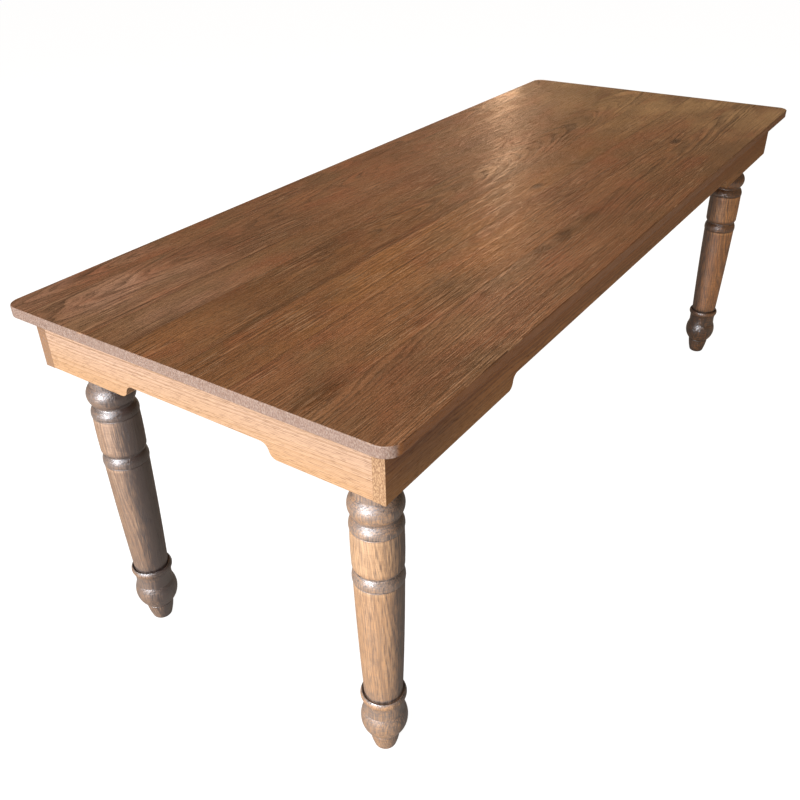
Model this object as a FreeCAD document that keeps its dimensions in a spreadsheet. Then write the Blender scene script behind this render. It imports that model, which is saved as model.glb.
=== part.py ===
import FreeCAD
import Part
import Sketcher

import math
import operator
import os
import types

# A long oak dining table: seven edge-glued boards on a box of four aprons, with a turned leg bolted
# into each corner of the box. Millimetres, +Z up, X along the table, origin on the floor under the
# middle of the top. The front is the -Y side and the left end is the -X end.

DRIVING_SIZES = {
    # Top: the boards are counted from the front, and their widths add up to the table's width.
    "top_length": 2020,
    "board_one": 145,
    "board_two": 136,
    "board_three": 106,
    "board_four": 119,
    "board_five": 78,
    "board_six": 150,
    "board_seven": 66,
    "top_thickness": 20,
    "top_corner_radius": 28,
    "top_arris": 2,
    "table_height": 762,
    "overhang_left": 30,
    "overhang_right": 48,
    "overhang_side": 32,
    # Aprons: deep at the legs, raised between two S-shaped steps.
    "apron_thickness": 22,
    "apron_depth": 103,
    "apron_rise": 25,
    "apron_arris": 1.5,
    "long_shoulder": 357,
    "long_step": 28,
    "end_shoulder": 175,
    "end_step": 31,
    "dowel_radius": 5,
    "dowel_in_long": 12,
    "dowel_in_end": 35,
    "dowel_from_edge": 28,
    # Leg: heights of its members from the floor up to the shaft, then from the block down to it.
    "leg_block": 94,
    "block_chamfer": 32,
    "tip_height": 6,
    "peg_height": 37,
    "peg_groove": 4,
    "vase_height": 57,
    "neck_height": 30,
    "collar_height": 16,
    "lip_depth": 4.5,
    "throat_height": 47,
    "bulb_top_height": 20,
    "bulb_height": 18,
    "cove_height": 6,
    "upper_ring_height": 19,
    "barrel_height": 76.5,
    "barrel_round_height": 7,
    "ring_groove": 3,
    "lower_ring_height": 21.5,
    "quirk_height": 2,
    "quirk_depth": 1.5,
    # Leg: radii where its members meet.
    "tip_radius": 15,
    "peg_low_radius": 21,
    "peg_high_radius": 28.5,
    "vase_low_radius": 30.5,
    "vase_high_radius": 37.5,
    "collar_low_radius": 38,
    "lip_radius": 38.5,
    "shaft_low_radius": 34.6,
    "shaft_high_radius": 42.4,
    "lower_ring_radius": 43.4,
    "ring_groove_radius": 38.6,
    "barrel_low_radius": 42.9,
    "barrel_high_radius": 43,
    "upper_ring_radius": 43.9,
    "cove_low_radius": 38,
    "bulb_low_radius": 38,
    "bulb_rim_radius": 45.1,
    "bulb_high_radius": 35.5,
    "throat_radius": 40,
    # Leg: how far each member swells beyond, or is hollowed behind, the line between its ends.
    "tip_swell": 1.3,
    "peg_swell": 1,
    "peg_hollow": 1.5,
    "vase_swell": 8.6,
    "neck_hollow": 1.2,
    "collar_swell": 3.4,
    "shaft_swell": 0.9,
    "lower_ring_swell": 2.2,
    "barrel_round_swell": 1,
    "barrel_swell": 0.6,
    "upper_ring_swell": 2.4,
    "cove_hollow": 1,
    "bulb_swell": 1.8,
    "bulb_top_swell": 2.5,
    "throat_hollow": 2.5,
    # Corner braces and what fastens them.
    "brace_thickness": 28,
    "brace_height": 70,
    "brace_drop": 10,
    "brace_gap": 3,
    "bolt_radius": 4,
    "bolt_play": 0.5,
    "bolt_bite": 45,
    "bolt_tail": 6,
    "bolt_spread": 36,
    "washer_radius": 11,
    "washer_thickness": 2,
    "nut_flat_radius": 6.5,
    "nut_height": 6.5,
    "brace_screw_from_toe": 12,
    "brace_screw_spread": 40,
    "brace_screw_sink": 8,
    # Wood screws.
    "screw_radius": 2.25,
    "screw_head_radius": 4.5,
    "screw_head_height": 3,
    "screw_tip_height": 5,
    "screw_cover": 6,
    "screw_play": 0.5,
    # Cross bearers and the buttons that hold the top down.
    "bearer_width": 60,
    "bearer_thickness": 22,
    "bearer_play": 1,
    "bearer_screw_from_seam": 40,
    "button_width": 46,
    "button_reach": 36,
    "button_thickness": 18,
    "button_gap": 1,
    "tongue_length": 10,
    "tongue_thickness": 8,
    "mortise_play": 2,
}

BEARER_COUNT = 3
LONG_BUTTON_COUNT = 4
END_BUTTON_COUNT = 2
ROOT_TWO = math.sqrt(2)
CORNERS = ("front_left", "front_right", "back_right", "back_left")
UPWARD = FreeCAD.Vector(0, 0, 1)
NEAR = 1e-6


class Size:
    """A length: its number now, and the expression that ties it to the sheet."""

    def __init__(self, number, text):
        self.number = number
        self.text = text

    def __add__(self, other):
        return combined(operator.add, self, "+", other)

    def __radd__(self, other):
        return combined(operator.add, other, "+", self)

    def __sub__(self, other):
        return combined(operator.sub, self, "-", other)

    def __neg__(self):
        return combined(operator.sub, 0, "-", self)

    def __mul__(self, other):
        return combined(operator.mul, self, "*", other)

    def __truediv__(self, other):
        return combined(operator.truediv, self, "/", other)


def as_size(value):
    if isinstance(value, Size):
        return value
    return Size(float(value), f"{float(value):.9f}")


def combined(operation, left, sign, right):
    left = as_size(left)
    right = as_size(right)
    return Size(operation(left.number, right.number), f"({left.text} {sign} {right.text})")


def fill_sheet(document):
    """Put the driving sizes in a sheet and give each back by its name."""
    sheet = document.addObject("Spreadsheet::Sheet", "Sizes")
    for row, (alias, number) in enumerate(DRIVING_SIZES.items(), start=1):
        sheet.set(f"A{row}", alias)
        sheet.set(f"B{row}", str(number))
        sheet.setAlias(f"B{row}", alias)
    document.recompute()
    return types.SimpleNamespace(
        **{alias: Size(float(sheet.get(alias)), f"Sizes.{alias}") for alias in DRIVING_SIZES}
    )


doc = FreeCAD.newDocument("oak_table")
sizes = fill_sheet(doc)

# Levels and outlines that several pieces share.
board_widths = [
    sizes.board_one,
    sizes.board_two,
    sizes.board_three,
    sizes.board_four,
    sizes.board_five,
    sizes.board_six,
    sizes.board_seven,
]
top_width = sum(board_widths[1:], board_widths[0])
top_left = -sizes.top_length / 2
top_front = -top_width / 2
seams = [top_front]
for board_width in board_widths:
    seams.append(seams[-1] + board_width)

underside = sizes.table_height - sizes.top_thickness
apron_bottom = underside - sizes.apron_depth
frame_left = top_left + sizes.overhang_left
frame_right = -top_left - sizes.overhang_right
frame_front = top_front + sizes.overhang_side
frame_back = -frame_front
inner_left = frame_left + sizes.apron_thickness
inner_right = frame_right - sizes.apron_thickness
inner_front = frame_front + sizes.apron_thickness
inner_back = -inner_front
inner_length = inner_right - inner_left
inner_width = inner_back - inner_front

# Along an apron's inner face, a brace lands between its toe and its heel.
chamfer_reach = sizes.leg_block * 2 - sizes.block_chamfer
brace_toe = chamfer_reach + sizes.brace_gap * ROOT_TWO
brace_heel = brace_toe + sizes.brace_thickness * ROOT_TWO
brace_bottom = underside - sizes.brace_drop - sizes.brace_height
brace_middle = brace_bottom + sizes.brace_height / 2

# A screw into the top or into an apron stops short of the far face.
bite_in_top = sizes.top_thickness - sizes.screw_cover
bite_in_apron = sizes.apron_thickness - sizes.screw_cover


def place(piece, x, y, z, rotation=None):
    """Put a piece at a spot that follows the sheet, turned by a fixed rotation."""
    spot = [as_size(value) for value in (x, y, z)]
    base = FreeCAD.Vector(*[value.number for value in spot])
    piece.Placement = FreeCAD.Placement(base, rotation or FreeCAD.Rotation())
    for axis, value in zip("xyz", spot):
        piece.setExpression(f"Placement.Base.{axis}", value.text)


def quarter_turns(count):
    return FreeCAD.Rotation(UPWARD, 90 * count)


def pointing(x, y):
    """The rotation that lays a piece's own +Z along a level direction."""
    return FreeCAD.Rotation(UPWARD, FreeCAD.Vector(x, y, 0))


def turned(turn, along, across):
    """A level offset turned by a number of quarter turns."""
    return [(along, across), (-across, along), (-along, -across), (across, -along)][turn]


def from_corner(turn, along, across):
    """The spot at two distances along the aprons from the inside corner that a turn leads to."""
    corner_x = (inner_left, inner_right, inner_right, inner_left)[turn]
    corner_y = (inner_front, inner_front, inner_back, inner_back)[turn]
    offset_x, offset_y = turned(turn, along, across)
    return corner_x + offset_x, corner_y + offset_y


def origin_plane(body, role):
    return next(feature for feature in body.Origin.OriginFeatures if feature.Role == role)


def swell_radius(start, end, swell):
    """The radius of the arc that stands a given height above the line from start to end."""
    across = end[0] - start[0]
    up = end[1] - start[1]
    return (across * across + up * up) / (swell * 8) + swell / 2


def arc_through(start, end, radius, side):
    """A short arc between two points, bulging right of the way from start to end where side is 1."""
    chord = end - start
    half = chord.Length / 2
    rise = radius - math.sqrt(radius ** 2 - half ** 2)
    outward = FreeCAD.Vector(chord.y, -chord.x, 0).normalize()
    return Part.Arc(start, (start + end) / 2 + outward * (rise * side), end)


def hold(sketch, kind, segment, point, distance):
    """Tie one coordinate of a sketch point to the sheet, or to the axis where it is zero."""
    if not isinstance(distance, Size):
        axis = {"DistanceX": -2, "DistanceY": -1}[kind]
        sketch.addConstraint(Sketcher.Constraint("PointOnObject", segment, point, axis))
        return
    constraint = Sketcher.Constraint(kind, -1, 1, segment, point, distance.number)
    index = sketch.addConstraint(constraint)
    sketch.setExpression(f"Constraints[{index}]", distance.text)


def outline(body, name, role, corners, arcs=None, lift=None):
    """A closed sketch through corners given anticlockwise as (across, up).

    arcs holds, for the corner that an arc starts from, its radius and the side that it bulges to.
    """
    arcs = arcs or {}
    sketch = body.newObject("Sketcher::SketchObject", name)
    sketch.AttachmentSupport = [(origin_plane(body, role), "")]
    sketch.MapMode = "FlatFace"
    if lift is not None:
        sketch.setExpression("AttachmentOffset.Base.z", lift.text)
    points = [FreeCAD.Vector(as_size(across).number, as_size(up).number, 0) for across, up in corners]
    count = len(points)
    for index, start in enumerate(points):
        end = points[(index + 1) % count]
        if index in arcs:
            radius, side = arcs[index]
            sketch.addGeometry(arc_through(start, end, radius.number, side))
        else:
            sketch.addGeometry(Part.LineSegment(start, end))
    starts = [1 if sketch.getPoint(index, 1).isEqual(points[index], NEAR) else 2 for index in range(count)]
    for index, (across, up) in enumerate(corners):
        before = (index - 1) % count
        meeting = Sketcher.Constraint("Coincident", before, 3 - starts[before], index, starts[index])
        sketch.addConstraint(meeting)
        hold(sketch, "DistanceX", index, starts[index], across)
        hold(sketch, "DistanceY", index, starts[index], up)
    for index, (radius, _) in arcs.items():
        bend = sketch.addConstraint(Sketcher.Constraint("Radius", index, radius.number))
        sketch.setExpression(f"Constraints[{bend}]", radius.text)
    return sketch


def pad(body, sketch, length):
    feature = body.newObject("PartDesign::Pad", "Pad")
    feature.Profile = sketch
    feature.setExpression("Length", length.text)
    return feature


def revolve(body, sketch):
    feature = body.newObject("PartDesign::Revolution", "Turning")
    feature.Profile = sketch
    feature.ReferenceAxis = (sketch, ["V_Axis"])
    feature.Angle = 360
    return feature


def ease(body, feature, radius, is_eased):
    """Round the edges of a feature that a test picks out."""
    doc.recompute()
    edges = enumerate(feature.Shape.Edges, start=1)
    names = [f"Edge{number}" for number, edge in edges if is_eased(edge)]
    easing = body.newObject("PartDesign::Fillet", "Easing")
    easing.Base = (feature, names)
    easing.setExpression("Radius", radius.text)


def cylinder(name, radius, length):
    piece = doc.addObject("Part::Cylinder", name)
    piece.setExpression("Radius", radius.text)
    piece.setExpression("Height", length.text)
    return piece


def box(name, length, width, height):
    piece = doc.addObject("Part::Box", name)
    piece.setExpression("Length", length.text)
    piece.setExpression("Width", width.text)
    piece.setExpression("Height", height.text)
    return piece


def cut(name, base, *tools):
    """Take tools out of a base one after another; the last result carries the name."""
    for tool in tools:
        result = doc.addObject("Part::Cut", f"{name}_cut")
        result.Base = base
        result.Tool = tool
        base = result
    base.Label = name
    return base


def gather(name, pieces):
    group = doc.addObject("Part::Compound", name)
    group.Links = pieces
    return group


def copies(name, master, spots):
    """One group of copies of a master piece, each at an (x, y, z, rotation)."""
    links = []
    for number, spot in enumerate(spots, start=1):
        link = doc.addObject("App::Link", f"{name}_{number}")
        link.LinkedObject = master
        place(link, *spot)
        links.append(link)
    return gather(name, links)


def wood_screw(name, length):
    """A countersunk screw with its head on the floor of its own frame and its tip up."""
    body = doc.addObject("PartDesign::Body", name)
    corners = [
        (0, 0),
        (sizes.screw_head_radius, 0),
        (sizes.screw_radius, sizes.screw_head_height),
        (sizes.screw_radius, length - sizes.screw_tip_height),
        (0, length),
    ]
    revolve(body, outline(body, "ScrewProfile", "XZ_Plane", corners))
    return body


def bearer_middles():
    """Where the bearers stand, evenly spaced between the braces."""
    span = inner_length - brace_heel * 2
    step = span / (BEARER_COUNT + 1)
    return [inner_left + brace_heel + step * number for number in range(1, BEARER_COUNT + 1)]


def bearer_screw_rows():
    """A screw row for each board over the bearers: the narrow back board sits on the apron."""
    rows = [seams[1] - sizes.bearer_screw_from_seam]
    for low, high in zip(seams[1:-2], seams[2:-1]):
        rows.append((low + high) / 2)
    return rows


def bearer_screws():
    master = wood_screw("bearer_screw", sizes.bearer_thickness + bite_in_top)
    level = underside - sizes.bearer_thickness
    spots = [(x, y, level) for x in bearer_middles() for y in bearer_screw_rows()]
    return copies("bearer_screws", master, spots)


def button_places():
    """Each button's apron, as quarter turns from the front one, and its middle along that apron."""
    places = []
    for turn, span, count in (
        (0, inner_length, LONG_BUTTON_COUNT),
        (1, inner_width, END_BUTTON_COUNT),
        (2, inner_length, LONG_BUTTON_COUNT),
        (3, inner_width, END_BUTTON_COUNT),
    ):
        step = (span - brace_heel * 2) / count
        places += [(turn, brace_heel + step * (number + 0.5)) for number in range(count)]
    return places


def button_spot(turn, middle, width, reach):
    """A spot beside an apron: half a width back from the middle, and a reach in from its face."""
    return from_corner(turn, middle - width / 2, reach)


def button_screw_master():
    return wood_screw("button_screw", sizes.button_thickness + bite_in_top)


def button_screws(master):
    level = underside - sizes.button_thickness
    reach = sizes.button_gap + sizes.button_reach / 2
    spots = []
    for turn, middle in button_places():
        x, y = from_corner(turn, middle, reach)
        spots.append((x, y, level))
    return copies("button_screws", master, spots)


def top_buttons(screw_master):
    """Wooden buttons under the top, each with a tongue that hooks into an apron."""
    body = doc.addObject("PartDesign::Body", "button_blank")
    heel = sizes.tongue_length + sizes.button_gap
    length = heel + sizes.button_reach
    corners = [
        (0, 0),
        (length, 0),
        (length, sizes.button_thickness),
        (heel, sizes.button_thickness),
        (heel, sizes.tongue_thickness),
        (0, sizes.tongue_thickness),
    ]
    pad(body, outline(body, "ButtonProfile", "YZ_Plane", corners), sizes.button_width)
    screw_hole = doc.addObject("App::Link", "button_screw_hole")
    screw_hole.LinkedObject = screw_master
    place(screw_hole, sizes.button_width / 2, heel + sizes.button_reach / 2, 0)
    master = cut("button", body, screw_hole)
    level = underside - sizes.button_thickness
    spots = []
    for turn, middle in button_places():
        x, y = button_spot(turn, middle, sizes.button_width, -sizes.tongue_length)
        spots.append((x, y, level, quarter_turns(turn)))
    return copies("top_buttons", master, spots)


def mortises(turn):
    """The pockets in one apron for its buttons' tongues, which bear on the pockets' upper faces."""
    width = sizes.button_width + sizes.mortise_play * 2
    depth = sizes.tongue_length + sizes.mortise_play
    height = sizes.tongue_thickness + sizes.mortise_play
    level = underside - sizes.button_thickness - sizes.mortise_play
    pockets = []
    for number, (side, middle) in enumerate(button_places(), start=1):
        if side == turn:
            pocket = box(f"mortise_{number}", width, depth, height)
            x, y = button_spot(turn, middle, width, -depth)
            place(pocket, x, y, level, quarter_turns(turn))
            pockets.append(pocket)
    return gather(f"mortises_{turn}", pockets)


def apron_dowels():
    """Two level dowels in each butt joint, from the long apron into the end of the short one."""
    master = cylinder("apron_dowel", sizes.dowel_radius, sizes.dowel_in_long + sizes.dowel_in_end)
    middle = sizes.apron_thickness / 2
    levels = (apron_bottom + sizes.dowel_from_edge, underside - sizes.dowel_from_edge)
    spots = []
    for x in (frame_left + middle, frame_right - middle):
        for level in levels:
            spots.append((x, inner_front - sizes.dowel_in_long, level, pointing(0, 1)))
            spots.append((x, inner_back + sizes.dowel_in_long, level, pointing(0, -1)))
    return copies("apron_dowels", master, spots)


def apron_outline(body, role, length, shoulder, step):
    """An apron seen from its face: deep at both ends, with an S-shaped step to the raised middle."""
    rise = sizes.apron_rise
    corners = [
        (0, 0),
        (shoulder, 0),
        (shoulder + step / 2, rise / 2),
        (shoulder + step, rise),
        (length - shoulder - step, rise),
        (length - shoulder - step / 2, rise / 2),
        (length - shoulder, 0),
        (length, 0),
        (length, sizes.apron_depth),
        (0, sizes.apron_depth),
    ]
    radius = (step * step + rise * rise) / (rise * 4)
    arcs = {1: (radius, 1), 2: (radius, -1), 4: (radius, -1), 5: (radius, 1)}
    return outline(body, "ApronFace", role, corners, arcs)


def lies_on(edge, axis, level):
    box_of_edge = edge.BoundBox
    low = getattr(box_of_edge, f"{axis}Min")
    high = getattr(box_of_edge, f"{axis}Max")
    return abs(low - level) < NEAR and abs(high - level) < NEAR


def apron_blank(name, role, length, shoulder, step, outer_axis, outer_level):
    """An apron with its outer lower edge eased."""
    body = doc.addObject("PartDesign::Body", f"{name}_blank")
    face = apron_outline(body, role, length, shoulder, step)
    board = pad(body, face, sizes.apron_thickness)

    def is_lower_outer(edge):
        below_top = edge.BoundBox.ZMin < sizes.apron_depth.number - NEAR
        upright = edge.BoundBox.ZLength > sizes.apron_depth.number - NEAR
        return lies_on(edge, outer_axis, outer_level) and below_top and not upright

    ease(body, board, sizes.apron_arris, is_lower_outer)
    return body


def long_apron(name, turn, dowels, screws):
    """The front or back apron; its own frame has the outer face in front."""
    length = frame_right - frame_left
    outer = -sizes.apron_thickness.number
    blank = apron_blank(
        name, "XZ_Plane", length, sizes.long_shoulder, sizes.long_step, "Y", outer
    )
    if turn == 0:
        place(blank, frame_left, inner_front, apron_bottom)
    else:
        place(blank, frame_right, inner_back, apron_bottom, quarter_turns(turn))
    return cut(name, blank, mortises(turn), dowels, screws)


def end_apron(name, turn, dowels, screws):
    """The right or left apron, fitted between the long ones; its outer face looks along +X."""
    outer = sizes.apron_thickness.number
    blank = apron_blank(
        name, "YZ_Plane", inner_width, sizes.end_shoulder, sizes.end_step, "X", outer
    )
    if turn == 1:
        place(blank, inner_right, inner_front, apron_bottom)
    else:
        place(blank, inner_left, inner_back, apron_bottom, quarter_turns(2))
    return cut(name, blank, mortises(turn), dowels, screws)


def top_board(number, screws):
    """One board of the top; the first and the last have the table's rounded corners."""
    width = board_widths[number]
    length = sizes.top_length
    radius = sizes.top_corner_radius
    is_first = number == 0
    is_last = number == len(board_widths) - 1
    corners = []
    arcs = {}
    if is_first:
        corners += [(radius, 0), (length - radius, 0), (length, radius)]
        arcs[1] = (radius, 1)
    else:
        corners += [(0, 0), (length, 0)]
    if is_last:
        arcs[len(corners)] = (radius, 1)
        corners += [(length, width - radius), (length - radius, width), (radius, width)]
        arcs[len(corners) - 1] = (radius, 1)
        corners += [(0, width - radius)]
    else:
        corners += [(length, width), (0, width)]
    if is_first:
        arcs[len(corners)] = (radius, 1)
        corners += [(0, radius)]
    body = doc.addObject("PartDesign::Body", f"board_blank_{number + 1}")
    board = pad(body, outline(body, "BoardFace", "XY_Plane", corners, arcs), sizes.top_thickness)
    seam_levels = [] if is_first else [0]
    if not is_last:
        seam_levels.append(width.number)

    def is_outer_arris(edge):
        is_level = edge.BoundBox.ZLength < NEAR
        return is_level and not any(lies_on(edge, "Y", level) for level in seam_levels)

    ease(body, board, sizes.top_arris, is_outer_arris)
    place(body, top_left, seams[number], underside)
    return cut(f"top_board_{number + 1}", body, *screws)


def leg_profile(body):
    """Half the turning, from the tip of the foot up to the block."""
    tip = sizes.tip_height
    peg = tip + sizes.peg_height
    vase_low = peg + sizes.peg_groove
    vase_high = vase_low + sizes.vase_height
    collar_low = vase_high + sizes.neck_height
    collar_high = collar_low + sizes.collar_height
    # The collar has a lip, and the shaft stands in the groove behind it.
    shaft_low = collar_high - sizes.lip_depth
    bulb_high = apron_bottom - sizes.throat_height
    bulb_rim = bulb_high - sizes.bulb_top_height
    bulb_low = bulb_rim - sizes.bulb_height
    cove_low = bulb_low - sizes.cove_height
    upper_ring = cove_low - sizes.upper_ring_height
    barrel_low = upper_ring - sizes.barrel_height
    groove_high = barrel_low - sizes.barrel_round_height
    groove_low = groove_high - sizes.ring_groove
    shaft_high = groove_low - sizes.lower_ring_height
    # A quirk is the narrow groove that sets a ring off from the plain turning under it.
    quirk = sizes.quirk_height
    shaft_quirk_radius = sizes.shaft_high_radius - sizes.quirk_depth
    barrel_quirk_radius = sizes.barrel_high_radius - sizes.quirk_depth
    corners = [
        (0, 0),
        (sizes.tip_radius, 0),
        (sizes.peg_low_radius, tip),
        (sizes.peg_high_radius, peg),
        (sizes.vase_low_radius, vase_low),
        (sizes.vase_high_radius, vase_high),
        (sizes.collar_low_radius, collar_low),
        (sizes.lip_radius, collar_high),
        (sizes.shaft_low_radius, shaft_low),
        (sizes.shaft_high_radius, shaft_high - quirk),
        (shaft_quirk_radius, shaft_high),
        (sizes.lower_ring_radius, shaft_high),
        (sizes.ring_groove_radius, groove_low),
        (sizes.ring_groove_radius, groove_high),
        (sizes.barrel_low_radius, barrel_low),
        (sizes.barrel_high_radius, upper_ring - quirk),
        (barrel_quirk_radius, upper_ring),
        (sizes.upper_ring_radius, upper_ring),
        (sizes.cove_low_radius, cove_low),
        (sizes.bulb_low_radius, bulb_low),
        (sizes.bulb_rim_radius, bulb_rim),
        (sizes.bulb_high_radius, bulb_high),
        (sizes.throat_radius, apron_bottom),
        (0, apron_bottom),
    ]
    swells = {
        1: (sizes.tip_swell, 1),
        2: (sizes.peg_swell, 1),
        3: (sizes.peg_hollow, -1),
        4: (sizes.vase_swell, 1),
        5: (sizes.neck_hollow, -1),
        6: (sizes.collar_swell, 1),
        8: (sizes.shaft_swell, 1),
        11: (sizes.lower_ring_swell, 1),
        13: (sizes.barrel_round_swell, 1),
        14: (sizes.barrel_swell, 1),
        17: (sizes.upper_ring_swell, 1),
        18: (sizes.cove_hollow, -1),
        19: (sizes.bulb_swell, 1),
        20: (sizes.bulb_top_swell, 1),
        21: (sizes.throat_hollow, -1),
    }
    arcs = {}
    for index, (swell, side) in swells.items():
        arcs[index] = (swell_radius(corners[index], corners[index + 1], swell), side)
    return outline(body, "LegProfile", "XZ_Plane", corners, arcs)


def leg(corner, turn, bolts):
    """A turned leg under a square block; the block's inside corner is flat for the bolts."""
    half = sizes.leg_block / 2
    flat = half - sizes.block_chamfer
    body = doc.addObject("PartDesign::Body", f"leg_blank_{corner}")
    revolve(body, leg_profile(body))
    block = [(-half, -half), (half, -half), (half, flat), (flat, half), (-half, half)]
    pad(body, outline(body, "BlockPlan", "XY_Plane", block, lift=apron_bottom), sizes.apron_depth)
    x, y = from_corner(turn, half, half)
    place(body, x, y, 0, quarter_turns(turn))
    return cut(f"leg_{corner}", body, bolts)


def on_diagonal(turn, distance):
    """The spot at a distance from an inside corner along its diagonal."""
    return from_corner(turn, distance / ROOT_TWO, distance / ROOT_TWO)


def bolt_spots(distance):
    """Two spots on each corner's diagonal, one above the other, facing the middle of the table."""
    spots = []
    for turn in range(len(CORNERS)):
        x, y = on_diagonal(turn, distance)
        inward = quarter_turns(turn).multVec(FreeCAD.Vector(1, 1, 0))
        for offset in (-sizes.bolt_spread / 2, sizes.bolt_spread / 2):
            spots.append((x, y, brace_middle + offset, pointing(inward.x, inward.y)))
    return spots


def bolt_hardware():
    """Hanger bolts screwed into the legs, with the washers and nuts that draw the legs home."""
    bolt_start = chamfer_reach / ROOT_TWO - sizes.bolt_bite
    brace_face = brace_heel / ROOT_TWO
    nut_face = brace_face + sizes.washer_thickness
    bolt_end = nut_face + sizes.nut_height + sizes.bolt_tail
    bolt = cylinder("hanger_bolt", sizes.bolt_radius, bolt_end - bolt_start)

    disc = cylinder("washer_disc", sizes.washer_radius, sizes.washer_thickness)
    hole = cylinder("washer_hole", sizes.bolt_radius + sizes.bolt_play, sizes.washer_thickness)
    washer = cut("washer", disc, hole)

    prism = doc.addObject("Part::Prism", "nut_prism")
    prism.Polygon = 6
    prism.setExpression("Circumradius", (sizes.nut_flat_radius * 2 / math.sqrt(3)).text)
    prism.setExpression("Height", sizes.nut_height.text)
    nut = cut("nut", prism, cylinder("nut_thread", sizes.bolt_radius, sizes.nut_height))

    bolts = copies("hanger_bolts", bolt, bolt_spots(bolt_start))
    washers = copies("brace_washers", washer, bolt_spots(brace_face))
    nuts = copies("brace_nuts", nut, bolt_spots(nut_face))
    return bolts, washers, nuts


def brace_screw_reach():
    """How far in from the apron's face the top of a brace screw's head lies."""
    return brace_heel - brace_toe - sizes.brace_screw_from_toe - sizes.brace_screw_sink


def brace_screw_spots(reach, facing):
    """A spot beside each end of each brace at two heights, a reach in from the apron's face.

    facing is 1 where the piece there points at the middle of the table and -1 where at the apron.
    """
    beside = brace_toe + sizes.brace_screw_from_toe
    spots = []
    for turn in range(len(CORNERS)):
        for along, across, way in ((beside, reach, (0, facing)), (reach, beside, (facing, 0))):
            x, y = from_corner(turn, along, across)
            level_way = quarter_turns(turn).multVec(FreeCAD.Vector(*way, 0))
            for offset in (-sizes.brace_screw_spread / 2, sizes.brace_screw_spread / 2):
                spots.append((x, y, brace_middle + offset, pointing(level_way.x, level_way.y)))
    return spots


def brace_screws():
    master = wood_screw("brace_screw", brace_screw_reach() + bite_in_apron)
    return copies("brace_screws", master, brace_screw_spots(brace_screw_reach(), -1))


def corner_brace(corner, turn, screws, screw_wells, bolt_holes):
    """A block across an inside corner, clear of the leg, drawn towards it by the bolts."""
    body = doc.addObject("PartDesign::Body", f"brace_blank_{corner}")
    plan = [(brace_toe, 0), (brace_heel, 0), (0, brace_heel), (0, brace_toe)]
    pad(body, outline(body, "BracePlan", "XY_Plane", plan), sizes.brace_height)
    x, y = from_corner(turn, as_size(0), as_size(0))
    place(body, x, y, brace_bottom, quarter_turns(turn))
    return cut(f"corner_brace_{corner}", body, screws, screw_wells, bolt_holes)


def cross_bearer(number, middle, screws):
    blank = box(
        f"bearer_blank_{number}",
        sizes.bearer_width,
        inner_width - sizes.bearer_play * 2,
        sizes.bearer_thickness,
    )
    left = middle - sizes.bearer_width / 2
    place(blank, left, inner_front + sizes.bearer_play, underside - sizes.bearer_thickness)
    return cut(f"cross_bearer_{number}", blank, screws)


def build():
    """Make every piece of the table and give back those that are nodes."""
    screws_of_bearers = bearer_screws()
    button_screw = button_screw_master()
    screws_of_buttons = button_screws(button_screw)
    buttons = top_buttons(button_screw)
    dowels = apron_dowels()
    screws_of_braces = brace_screws()
    bolts, washers, nuts = bolt_hardware()

    well = cylinder("screw_well", sizes.screw_head_radius + sizes.screw_play, brace_heel)
    screw_wells = copies("screw_wells", well, brace_screw_spots(brace_screw_reach(), 1))
    bolt_hole = cylinder("bolt_hole", sizes.bolt_radius + sizes.bolt_play, brace_heel)
    bolt_holes = copies("bolt_holes", bolt_hole, bolt_spots(as_size(0)))

    pieces = [screws_of_bearers, screws_of_buttons, buttons, dowels, screws_of_braces]
    pieces += [bolts, washers, nuts]
    for number in range(len(board_widths)):
        pieces.append(top_board(number, (screws_of_bearers, screws_of_buttons)))
    pieces.append(long_apron("front_apron", 0, dowels, screws_of_braces))
    pieces.append(end_apron("right_end_apron", 1, dowels, screws_of_braces))
    pieces.append(long_apron("back_apron", 2, dowels, screws_of_braces))
    pieces.append(end_apron("left_end_apron", 3, dowels, screws_of_braces))
    for turn, corner in enumerate(CORNERS):
        pieces.append(leg(corner, turn, bolts))
        pieces.append(corner_brace(corner, turn, screws_of_braces, screw_wells, bolt_holes))
    for number, middle in enumerate(bearer_middles(), start=1):
        pieces.append(cross_bearer(number, middle, screws_of_bearers))
    return pieces


def write(pieces):
    """Check that everything was made, then write each piece to its own file."""
    doc.recompute()
    for item in doc.Objects:
        if "Invalid" in item.State or "Error" in item.State:
            raise RuntimeError(f"{item.Label} was not made")
    for piece in pieces:
        if piece.Shape.isNull() or not piece.Shape.isValid():
            raise RuntimeError(f"{piece.Label} has no valid shape")
    os.makedirs("parts", exist_ok=True)
    for piece in pieces:
        piece.Shape.exportStep(f"parts/{piece.Label}.step")
        print(f"{piece.Label}: {len(piece.Shape.Solids)} solids, {piece.Shape.Volume / 1000:.1f} cm3")


write(build())
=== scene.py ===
# %% [markdown]
# # An oak dining table with turned legs
#
# The table arrives as a imported model: thirty nodes that already have the right shape, size and place.
# This lesson dresses it: the imported meshes stay as they are, and every piece gets a finish made only of
# shader nodes, a camera, a room and light. The finishes carry what the shape doesn't: the grain, the stain,
# the wear. The first step loads the model.

import math
from collections import namedtuple

import bmesh
import bpy
from mathutils import Color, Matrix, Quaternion, Vector


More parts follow.
